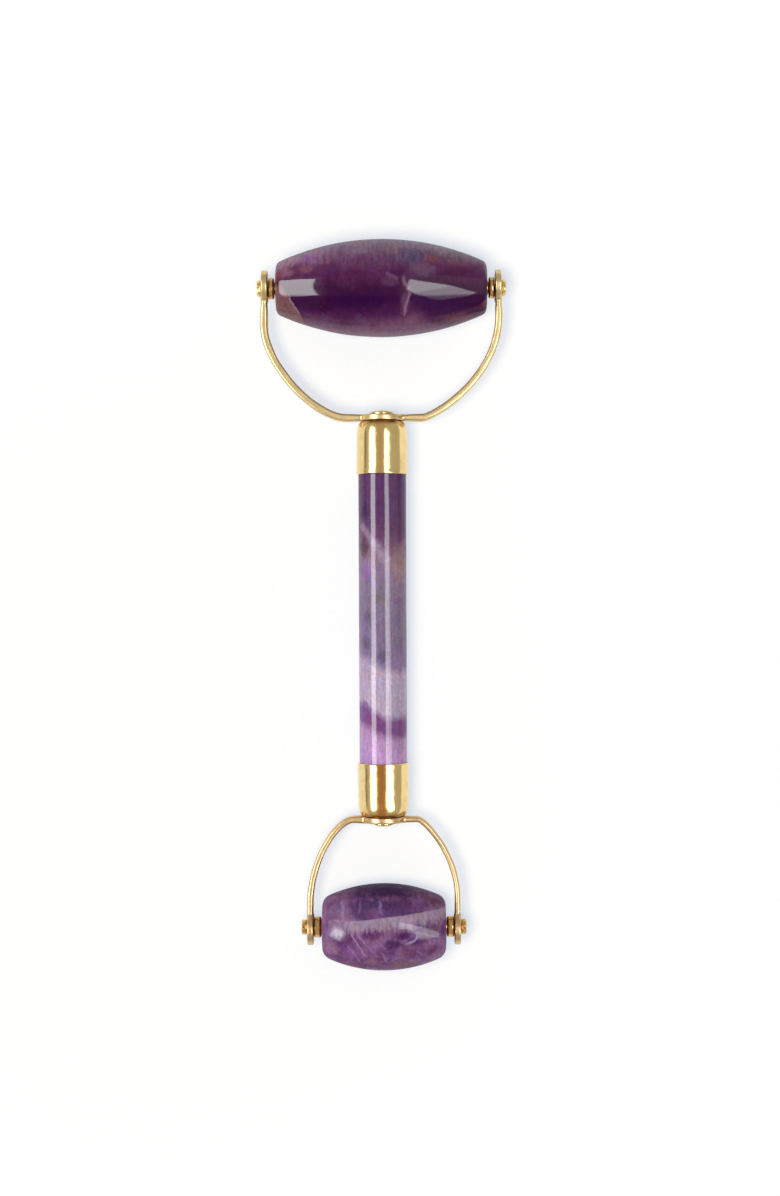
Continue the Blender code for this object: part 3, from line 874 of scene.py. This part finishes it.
SMALL_CLOUDS = (
    (0, 8.0, 14, 2.6, (52, 24, 64), 0.9),
    (-1, 5.4, 9, 1.7, (70, 46, 84), 0.85),
    (3, 3.8, 6, 1.6, (86, 58, 98), 0.85),
    (-4.5, 4.2, 3.2, 2.4, (84, 60, 98), 0.8),
    (-9.0, 4.2, 3.4, 2.6, (124, 98, 128), 0.8),
    (10.0, 5.6, 3.0, 2.2, (96, 62, 74), 0.85),
    # a painted highlight: the pale patch where the left softbox shows, on the little-polished left end
    (-9.2, -0.1, 2.2, 2.0, (186, 174, 184), 0.95),
    (-10.4, -3.6, 2.6, 2.6, (142, 104, 128), 0.8),
    (-2.9, 0.2, 3.4, 1.9, (86, 40, 92), 0.9),
    (1.8, -2.2, 3.0, 2.0, (68, 28, 72), 0.9),
    (3.6, -0.4, 3.0, 1.5, (66, 26, 76), 0.9),
    (6.5, -1.6, 3.4, 1.2, (84, 44, 86), 0.8),
    (9.6, -0.2, 2.8, 1.7, (98, 66, 88), 0.8),
    (-6.4, -4.0, 3.4, 2.2, (128, 86, 130), 0.8),
    (-6.6, -6.6, 3.2, 1.3, (116, 64, 96), 0.85),
    (-2.4, -6.0, 2.6, 1.5, (132, 100, 118), 0.8),
    (4.0, -6.6, 5.0, 1.7, (116, 84, 96), 0.85),
    (4.4, -4.2, 2.4, 1.4, (106, 66, 92), 0.75),
    (9.6, -3.6, 2.6, 2.0, (106, 60, 92), 0.8),
    (9.0, -6.6, 3.4, 1.8, (140, 112, 130), 0.8),
    (0, -8.8, 14, 1.7, (142, 118, 130), 0.8),
)

SMALL_VEINS = (
    (-8.4, 7.0, -7.9, 2.0, 0.5, (156, 132, 162), 0.6),
    (-0.9, 6.8, -0.5, 3.2, 0.45, (140, 118, 156), 0.6),
    (-4.6, 6.6, -5.0, 3.4, 0.35, (128, 104, 140), 0.5),
    (-6.9, 0.6, -3.0, -5.6, 0.3, (172, 148, 176), 0.6),
    (-5.6, 0.2, -1.6, -4.4, 0.22, (160, 132, 166), 0.5),
    (-1.8, -1.2, 0.6, -3.4, 0.2, (156, 126, 162), 0.5),
    (-0.6, -3.6, 0.6, -6.4, 0.35, (150, 124, 140), 0.5),
    (-7.6, -1.8, -4.2, -7.0, 0.25, (166, 136, 166), 0.4),
    # a painted highlight: the pale line along the upper edge of the right highlight
    (3.6, 0.7, 12.0, -1.3, 0.35, (176, 162, 184), 0.3),
    (6.0, -3.4, 9.4, -5.6, 0.3, (150, 120, 144), 0.5),
)


def small_stone_look():
    look = Look("banded_amethyst")
    height = barrel_height(SMALL)
    place = look.warped(0.9, 3.0, shift=4.0, detail=5)
    deep = look.ramp(look.noise(4.5, 4, 0.55, place, 17.0), 0.35, 0.65)
    colour = look.mix(deep, rgb(98, 58, 100), rgb(134, 98, 132))
    colour = apply_clouds(look, colour, SMALL_CLOUDS, place, height)
    # the growth band: a sharp upper edge that rises to the right, fringed below
    ripple_place = look.warped(0.18, 1.4, shift=6.0, detail=3)
    rise = look.vector("DOT_PRODUCT", ripple_place, (-0.11, 0.994, 0))
    streak = look.noise(0.7, 4, 0.6, look.stretched((1, 0.2, 1), ripple_place), 3.0)
    depth = look.ramp(streak, 0.3, 0.7, 1.0, -0.6)
    fringe = look.ramp(look.minus(rise, depth), -0.2, 1.7)
    band = look.times(look.ramp(rise, 2.9, 3.12, 1.0, 0.0), fringe)
    right = look.ramp(look.axis(0), -8.2, -6.5)
    band = look.times(band, right, 0.8)
    colour = look.mix(band, colour, rgb(160, 142, 154))
    crooked = look.warped(0.45, 1.8, shift=71.0, detail=4)
    colour = apply_veins(look, colour, SMALL_VEINS, crooked, height)
    colour = strands(look, colour, 0.55, (1.0, 0.3, 0.3), 0.14, 12.0)
    # duller on the left, and in a shallow chip, with a painted highlight on the right part of its rim
    bent = look.warped(0.3, 1.5)
    chip = look.patch((3.6, -0.5, height(3.6, -0.5)), (3.0, 1.6, 3.0), bent, 0.85)
    rim = look.patch((3.8, -0.9, height(3.8, -0.9)), (3.0, 1.6, 3.0), bent, 0.85)
    rim = look.times(look.math("SUBTRACT", rim, chip, True),
                    look.ramp(look.axis(0), 3.8, 5.4))
    # the painted highlight on the chip's rim
    colour = look.mix(look.times(rim, 0.5), colour, rgb(190, 174, 196))
    polish = look.ramp(look.axis(0), -7.0, 4.0, 0.2, 0.75)
    polish = look.times(polish, look.minus(1.0, chip))
    return stone_finish(look, colour, 0.76, polish, rim=0.35)


ROD_BANDS = (
    (-33, (160, 122, 168)),
    (-28, (182, 146, 186)),
    (-24.2, (172, 138, 172)),
    (-22.6, (116, 70, 118)),
    (-20.4, (118, 74, 122)),
    (-18.6, (172, 158, 176)),
    (-11.2, (176, 160, 176)),
    (-9.2, (128, 110, 138)),
    (-2, (124, 108, 132)),
    (4, (128, 112, 132)),
    (10, (140, 116, 138)),
    (14.0, (116, 80, 106)),
    (18.0, (90, 56, 92)),
    (30, (86, 50, 94)),
)

ROD_CLOUDS = (
    (-3.4, 21.5, 1.8, 2.4, (66, 38, 82), 0.8),
    (-3.7, 14.4, 1.9, 3.6, (86, 60, 70), 0.9),
    (3.4, 10.5, 2.6, 6.5, (148, 120, 116), 0.75),
    (-3.4, 9.4, 2.0, 3.4, (142, 102, 152), 0.85),
    (-0.4, 4.6, 1.8, 2.6, (112, 108, 112), 0.9),
    (3.0, 3.6, 1.8, 1.4, (126, 92, 138), 0.8),
    (-2.8, 0.4, 2.2, 2.0, (104, 92, 114), 0.8),
    (3.8, -2.0, 1.8, 3.2, (124, 116, 122), 0.7),
    (-3.4, -4.8, 2.0, 2.2, (104, 88, 112), 0.8),
    (-0.2, -7.4, 1.8, 2.0, (96, 86, 108), 0.85),
    (3.0, -8.6, 2.0, 2.6, (140, 112, 146), 0.8),
    (-3.6, -18.8, 2.0, 4.0, (124, 80, 130), 0.8),
)

ROD_VEINS = (
    (-4.9, 19.6, -1.4, 14.6, 1.0, (158, 142, 166), 0.6),
    (-2.6, 16.0, 1.4, 10.6, 1.6, (160, 144, 160), 0.7),
    (0.6, 12.4, 4.6, 8.0, 0.9, (152, 132, 140), 0.4),
    (-4.6, -14.8, -1.6, -17.6, 0.5, (190, 178, 192), 0.5),
)


def rod_look():
    look = Look("clouded_amethyst")
    length = 2 * half_size("handle_rod").y / MM
    place = look.warped(1.1, 3.4, shift=8.0, detail=5)
    tilt = look.times(look.math("MINIMUM", look.axis(0, place), 0.0), 0.65)
    along = look.plus(look.axis(1, place), tilt)
    share = look.plus(look.math("DIVIDE", along, length), 0.5)
    stops = [(y / length + 0.5, colour) for y, colour in ROD_BANDS]
    colour = look.bands(share, stops)
    top = half_size("handle_rod").z / MM

    def height(x, y):
        return math.sqrt(max(top * top - x * x, 0))

    colour = apply_clouds(look, colour, ROD_CLOUDS, place, height)
    crooked = look.warped(0.8, 2.4, shift=70.0, detail=5)
    colour = apply_veins(look, colour, ROD_VEINS, crooked, height)
    colour = strands(look, colour, 0.5, (1.0, 0.12, 1.0), 0.14, 12.0)
    return stone_finish(look, colour, 0.78, 1.0)


LOOKS = SimpleNamespace(
    screw=brass_look("screw_brass", rough=0.2, satin=0.32, worn_share=0.4, shade=0.4),
    rivet=brass_look(
        "rivet_brass", (0.74, 0.54, 0.25), rough=0.2, satin=0.35, worn_share=0.5, shade=0.5
    ),
    large_fork=brass_look(
        "large_fork_brass", (0.71, 0.57, 0.31), rough=0.31, satin=0.38, worn_share=0.5, grain=0.003
    ),
    small_fork=brass_look(
        "small_fork_brass", (0.64, 0.46, 0.26), rough=0.31, satin=0.38, worn_share=0.5, grain=0.003
    ),
    large_cup=brass_look("large_cup_brass", rough=0.14, satin=0.24, painted_light=cup_painted_light(LARGE, 0.35)),
    small_cup=brass_look("small_cup_brass", rough=0.14, satin=0.24, painted_light=cup_painted_light(SMALL, 0.9)),
    # darker, more orange brass for the small screws, collars and sleeves: partly their own tone, partly painted
    # shade and painted reflection of the stones beside them
    small_part=brass_look(
        "small_part_brass", (0.72, 0.46, 0.17), (0.4, 0.16, 0.04), rough=0.14, shade=0.8
    ),
    steel=turned_metal_look("turned_steel", (0.42, 0.40, 0.38), (0.62, 0.6, 0.57), 0.2, 0.45),
    # the spindle is painted a dark reddish brown where it shows between the collar and the stone: painted shade
    # and painted reflection of the stone
    spindle=turned_metal_look(
        "browned_steel", (0.16, 0.075, 0.045), (0.34, 0.18, 0.1), 0.3, 0.5, (0.1, 0.05, 0.035)
    ),
    resin=resin_look(),
    large_stone=large_stone_look(),
    small_stone=small_stone_look(),
    rod=rod_look(),
)


# ---------------------------------------------------------------- pieces


def dress_rod():
    half = half_size("handle_rod")
    along, out = half.y - ROD_EDGE_ROUND, half.z - ROD_EDGE_ROUND
    outline = (
        [(-half.y, 0)]
        + arc((-along, out), ROD_EDGE_ROUND, math.pi, math.pi / 2, 4)
        + arc((along, out), ROD_EDGE_ROUND, math.pi / 2, 0, 4)
        + [(half.y, 0)]
    )
    mesh = turned("stone_handle", outline, FORWARD, 96, 0.7 * MM)
    ripple(mesh, 0.012 * MM, 9 * MM, 1)
    piece("stone_handle", mesh, middle("handle_rod"), "handle_rod", LOOKS.rod)


def dress_ferrule(end, seed):
    node = end.name + "_ferrule"
    half = half_size(node)
    mouth_radius = half.z
    shoulder = mouth_radius - FERRULE_FLARE
    bore = mouth_radius - FERRULE_SHEET
    flat = shoulder - FERRULE_CORNER_WIDTH
    inner_flat = flat - 0.25 * MM
    face, mouth = half.y, -half.y
    centre = face - FERRULE_CORNER_RISE
    inner_size = (FERRULE_CORNER_RISE - FERRULE_WALL, bore - inner_flat)
    lip = (mouth + FERRULE_LIP, mouth_radius - FERRULE_LIP)
    outline = (
        [(face - FERRULE_WALL, RIVET_BORE), (face, RIVET_BORE)]
        + corner((centre, flat), (FERRULE_CORNER_RISE, FERRULE_CORNER_WIDTH), 18)
        + [(mouth + 0.9 * MM, mouth_radius - 0.05 * MM)]
        + arc(lip, FERRULE_LIP, math.pi / 2, math.pi, 5)
        + [(mouth, bore)]
        + corner((centre, inner_flat), inner_size, 8)[::-1]
    )
    mesh = turned(node, outline, end.outward, 144, 0.35 * MM)
    outer = flat - 0.3 * MM

    def only_outside(points):
        away = np.hypot(points[:, 0], points[:, 2])
        along = points[:, 1] * end.outward.y
        on_wall = (away > shoulder - FERRULE_SHEET / 2) & (along < centre)
        on_corner = (away > outer) & (along > centre) & (along < face - 0.05 * MM)
        return (on_wall | on_corner).astype(float)

    ripple(mesh, 0.014 * MM, 4.5 * MM, seed, only_outside)
    ripple(mesh, 0.0035 * MM, 1.3 * MM, seed + 20, only_outside)
    points = coordinates(mesh)
    toward_mouth = smooth_step(-points[:, 1] * end.outward.y, half.y - 1.5 * MM, half.y)
    uneven = wobble(points * (1, 0, 1), 6 * MM, seed + 50) * 0.06 * MM
    points[:, 1] += toward_mouth * uneven * only_outside(points)
    put_points(mesh, points)
    look = LOOKS.large_cup if end is LARGE else LOOKS.small_cup
    piece(end.name + "_end_cup", mesh, middle(node), node, look)


def dress_rivet(end):
    node = end.name + "_swivel_rivet"
    bottom, top = sorted(corner.y * end.outward.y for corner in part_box(node))
    radius = half_size(node).z
    boss = end.boss.y * end.outward.y
    seat = boss + BOSS_THICKNESS / 2 + SLIDE_GAP
    rim = seat + RIVET_RIM
    rise = top - rim
    sphere = (radius * radius + rise * rise) / (2 * rise)
    half_angle = math.asin((radius - RIVET_RIM_ROUND) / sphere)
    inset = 0.05 * MM
    outline = [
        (bottom, 0),
        (bottom, RIVET_TAIL_RADIUS - RIVET_TAIL_CHAMFER),
        (bottom + RIVET_TAIL_CHAMFER, RIVET_TAIL_RADIUS),
        (bottom + RIVET_TAIL, RIVET_TAIL_RADIUS),
        (bottom + RIVET_TAIL, RIVET_SHANK),
        (seat, RIVET_SHANK),
        (seat, radius - inset),
        (seat + inset, radius),
    ]
    rim_centre = (rim - RIVET_RIM_ROUND / 2, radius - RIVET_RIM_ROUND)
    outline += arc(rim_centre, RIVET_RIM_ROUND, math.pi / 2, half_angle, 5)
    outline += arc((top - sphere, 0), sphere, half_angle, 0, 14)[:-1]
    outline.append((top, 0))
    outline = [(along - boss, out) for along, out in outline]
    mesh = turned(node, outline, end.outward, 72, 0.4 * MM)
    ripple(mesh, 0.008 * MM, 2 * MM, 5)
    piece(end.name + "_rivet", mesh, end.boss, node, LOOKS.rivet)


def dress_fork(end):
    node = end.name + "_fork"
    mesh = settle(remeshed(node, end.boss, FORK_VOXEL), fork_field(end), 5)
    look = LOOKS.large_fork if end is LARGE else LOOKS.small_fork
    piece(end.name + "_yoke_frame", mesh, end.boss, node, look)


def dress_axle(end):
    node = end.name + "_axle"
    half = half_size(node).x
    floor = half - TAPPED_DEPTH
    edge = 0.08 * MM
    outline = [
        (-floor - 0.4 * MM, 0),
        (-floor, TAPPED_RADIUS),
        (-half + edge, TAPPED_RADIUS),
        (-half, TAPPED_RADIUS + edge),
        (-half, AXLE_RADIUS - edge),
        (-half + edge, AXLE_RADIUS),
    ]
    outline += [(-along, out) for along, out in reversed(outline)]
    mesh = turned(node, outline, RIGHT, 48, 1.5 * MM)
    piece(end.name + "_spindle", mesh, end.axle, node, LOOKS.spindle)


def dress_screw(end, side):
    node = f"{end.name}_{side}_screw"
    field, origin = screw_field(end, side)
    mesh = settle(remeshed(node, origin, SCREW_VOXEL), field, 3, 0.3)
    look = LOOKS.screw if end is LARGE else LOOKS.small_part
    piece(f"{end.name}_{side}_slotted_screw", mesh, origin, node, look)


def dress_spacer(end, side):
    node = f"{end.name}_{side}_spacer"
    half = half_size(node)
    low = -half.x - (COLLAR_REACH if side == "right" else 0)
    high = half.x + (COLLAR_REACH if side == "left" else 0)
    outline = ring_outline(low, high, SPACER_BORE, half.z, COLLAR_EDGE_ROUND)
    mesh = turned(node, outline, RIGHT, 64, 0.3 * MM)
    ripple(mesh, 0.01 * MM, 2 * MM, 7)
    piece(f"{end.name}_{side}_collar", mesh, middle(node), node, LOOKS.small_part)


def dress_bush(end, side):
    node = f"{end.name}_{side}_bush"
    half = half_size(node)
    outline = ring_outline(-half.x, half.x, BUSH_BORE, half.z, BUSH_EDGE_ROUND, 3)
    mesh = turned(node, outline, RIGHT, 48, 0.8 * MM)
    piece(f"{end.name}_{side}_sleeve", mesh, middle(node), node, LOOKS.small_part)


def dress_stone(end, look, seed):
    node = end.name + "_stone"
    half = half_size(node)
    crown, corner = end.crown_radius, end.stone_corner
    corner_along = half.x - corner
    to_corner = crown - corner
    corner_out = half.z - crown + math.sqrt(to_corner**2 - corner_along**2)
    tangent = math.acos(corner_along / to_corner)
    right = arc((corner_along, corner_out), corner, 0, tangent, 10)
    top = arc((0, half.z - crown), crown, tangent, math.pi - tangent, 60)
    left = [(-along, out) for along, out in reversed(right)]
    mouth_centre = (half.x - BORE_EDGE_ROUND, STONE_BORE + BORE_EDGE_ROUND)
    mouth = arc(mouth_centre, BORE_EDGE_ROUND, -math.pi / 2, 0, 3)
    outline = mouth + right + top[1:-1] + left
    outline += [(-along, out) for along, out in reversed(mouth)]
    mesh = turned(node, outline, RIGHT, 144, 0.8 * MM)
    ripple(mesh, 0.012 * MM, 8 * MM, seed)
    piece(end.name + "_barrel", mesh, middle(node), node, look)


def dress_hidden():
    """The washers and adhesive keep their CAD shapes and take procedural finishes."""
    for end in (LARGE, SMALL):
        for word, look in (("backing_washer", LOOKS.steel), ("adhesive_plug", LOOKS.resin)):
            node = frame["nodes"][f"{end.name}_{word}"]
            node.data.materials.clear()
            node.data.materials.append(look)


dress_rod()
dress_hidden()
for end, look, seed in ((LARGE, LOOKS.large_stone, 3), (SMALL, LOOKS.small_stone, 4)):
    dress_ferrule(end, seed + 10)
    dress_rivet(end)
    dress_fork(end)
    dress_axle(end)
    dress_stone(end, look, seed)
    for side in ("left", "right"):
        dress_screw(end, side)
        dress_spacer(end, side)
        dress_bush(end, side)


# ---------------------------------------------------------------- studio


def rest_plane():
    """The table that both stones rest on: its upward normal and its height along it."""
    radii = half_size("large_stone").z, half_size("small_stone").z
    span = LARGE.axle.y - SMALL.axle.y
    lean = math.asin((radii[0] - radii[1]) / span)
    normal = Vector((0, math.sin(lean), math.cos(lean)))
    return normal, normal.dot(LARGE.axle) - radii[0]


# The floor has its own soft lamp at the camera's height, a little to the left and towards the small
# stone, so that its shadows are narrow and fall the same way everywhere. The floor also glows a
# little, which keeps them pale and cool.
FLOOR_REACH = 3.0
FLOOR_TONE = 0.25
FLOOR_GLOW = (0.51, 0.58, 0.67, 1)
LAMP_COLOUR = (1.0, 0.83, 0.6)
LAMP_POWER = 2.75
LAMP_RADIUS = 0.078
LAMP_OFFSET = Vector((-0.052, -0.033, 0))
LIGHT_PLANE = 0.9
LIGHT_DISTANCE = 1.0
ROOM_COLOUR = (1.0, 0.94, 0.85, 1)
LEFT_FADE = (-0.995, -0.965, 0.12, 0.5)  # from and to which x, and the room's strength at each
CAMERA_DISTANCE = 0.41
FRAME_HEIGHT = 0.2392  # of the picture, at the handle
AIM = Vector((1.47 * MM, 1.43 * MM, 0))
CAMERA_ROLL = math.radians(-0.25)


def floor_look():
    """White card, slightly paler away from the middle, to make up for the lamp's falloff."""
    look = Look("white_card")
    fibre = look.noise(0.9, 4, 0.6)
    centre = look.vector("SUBTRACT", look.place, tuple((AIM + LAMP_OFFSET) / MM))
    away = look.math("DIVIDE", look.vector("LENGTH", centre), CAMERA_DISTANCE / MM)
    falloff = look.plus(look.times(away, away), 1.0)
    falloff = look.math("MINIMUM", look.times(falloff, falloff), 2.5)
    tone = look.times(falloff, look.ramp(fibre, 0.2, 0.8, 0.97, 1.03))
    tone = look.times(tone, FLOOR_TONE)
    look.set(Base_Color=look.grey(tone), Roughness=0.8, Specular_IOR_Level=0.0)
    look.set(Emission_Color=FLOOR_GLOW, Emission_Strength=1.0)
    look.bump(fibre, 0.01)
    return look.material


def build_floor(normal, height):
    bm = bmesh.new()
    bmesh.ops.create_grid(bm, x_segments=1, y_segments=1, size=FLOOR_REACH)
    floor = added("table", mesh_from(bm, "table"))
    floor.data.materials.append(floor_look())
    floor.rotation_mode = "QUATERNION"
    floor.rotation_quaternion = UP.rotation_difference(normal)
    floor.location = normal * height
    return floor


def lights_only(light, floor, state):
    """Includes the floor in, or excludes it from, what a light shines on."""
    receivers = bpy.data.collections.new(light.name + "_receivers")
    receivers.objects.link(floor)
    receivers.collection_objects[0].light_linking.link_state = state
    light.light_linking.receiver_collection = receivers


def build_lamp(floor, normal):
    data = bpy.data.lights.new("floor_lamp", "AREA")
    data.shape = "DISK"
    data.size = 2 * LAMP_RADIUS
    data.energy = LAMP_POWER
    data.color = LAMP_COLOUR
    lamp = added("floor_lamp", data)
    lamp.location = AIM + LAMP_OFFSET + normal * CAMERA_DISTANCE
    lamp.rotation_mode = "QUATERNION"
    lamp.rotation_quaternion = UP.rotation_difference(normal)
    lights_only(lamp, floor, "INCLUDE")


def glow(name, strength):
    """A white light of the given strength."""
    material = bpy.data.materials.new(name)
    material.use_nodes = True
    tree = material.node_tree
    tree.nodes.clear()
    emission = tree.nodes.new("ShaderNodeEmission")
    emission.inputs["Color"].default_value = (1, 1, 1, 1)
    emission.inputs["Strength"].default_value = strength
    output = tree.nodes.new("ShaderNodeOutputMaterial")
    tree.links.new(emission.outputs[0], output.inputs["Surface"])
    return material


def build_panel(name, corners, faces, strengths, floor):
    """A glowing panel that lights all but the floor. Corners are (x, y) metres in a level plane at
    the height LIGHT_PLANE, and are drawn in along their direction to LIGHT_DISTANCE."""
    bm = bmesh.new()
    for x, y in corners:
        bm.verts.new(Vector((x, y, LIGHT_PLANE)).normalized() * LIGHT_DISTANCE)
    bm.verts.ensure_lookup_table()
    for index, face in enumerate(faces):
        bm.faces.new([bm.verts[i] for i in face]).material_index = index
    panel = added(name, mesh_from(bm, name))
    for index, strength in enumerate(strengths):
        panel.data.materials.append(glow(f"{name}_{index}", strength))
    panel.visible_camera = False
    lights_only(panel, floor, "EXCLUDE")


def build_lights(floor, normal):
    build_lamp(floor, normal)
    build_panel(
        "left_softbox",
        ((-0.60, 0.43), (-0.60, -0.42), (-1.42, -0.84), (-1.36, 0.76)),
        ((0, 1, 2, 3),),
        (7.6,),
        floor,
    )
    build_panel(
        "right_reflector",
        ((0.20, 0.11), (0.234, 0.283), (0.60, 0.045), (1.15, -0.44),
         (1.06, -0.72), (0.62, -0.74), (0.285, -0.296), (0.205, -0.13)),
        ((0, 1, 2, 6, 7), (2, 3, 4, 5, 6)),
        (6.2, 4.4),
        floor,
    )


def build_world():
    """An evenly dim room, darkest low down on the left."""
    world = bpy.data.worlds.new("studio")
    bpy.context.scene.world = world
    world.use_nodes = True
    tree = world.node_tree
    background = tree.nodes["Background"]
    directions = tree.nodes.new("ShaderNodeTexCoord")
    split = tree.nodes.new("ShaderNodeSeparateXYZ")
    fade = tree.nodes.new("ShaderNodeMapRange")
    for key, number in zip(("From Min", "From Max", "To Min", "To Max"), LEFT_FADE):
        fade.inputs[key].default_value = number
    tree.links.new(directions.outputs["Generated"], split.inputs[0])
    tree.links.new(split.outputs[0], fade.inputs[0])
    tree.links.new(fade.outputs[0], background.inputs["Strength"])
    background.inputs["Color"].default_value = ROOM_COLOUR
    seen = tree.nodes.new("ShaderNodeBackground")
    seen.inputs["Color"].default_value = (1, 1, 1, 1)
    path = tree.nodes.new("ShaderNodeLightPath")
    choose = tree.nodes.new("ShaderNodeMixShader")
    tree.links.new(path.outputs["Is Camera Ray"], choose.inputs[0])
    tree.links.new(background.outputs[0], choose.inputs[1])
    tree.links.new(seen.outputs[0], choose.inputs[2])
    tree.links.new(choose.outputs[0], tree.nodes["World Output"].inputs["Surface"])


def build_camera(normal):
    data = bpy.data.cameras.new("camera")
    data.sensor_width = 36
    data.lens = data.sensor_width * CAMERA_DISTANCE / FRAME_HEIGHT
    data.clip_start, data.clip_end = 0.01, 20
    camera = added("camera", data)
    up = (Matrix.Rotation(CAMERA_ROLL, 3, normal) @ FORWARD).normalized()
    side = up.cross(normal).normalized()
    turn = Matrix((side, normal.cross(side), normal)).transposed().to_4x4()
    camera.matrix_world = Matrix.Translation(AIM + normal * CAMERA_DISTANCE) @ turn
    bpy.context.scene.camera = camera


table_normal, table_height = rest_plane()
build_lights(build_floor(table_normal, table_height), table_normal)
build_world()
build_camera(table_normal)
bpy.context.scene.view_settings.view_transform = "Standard"
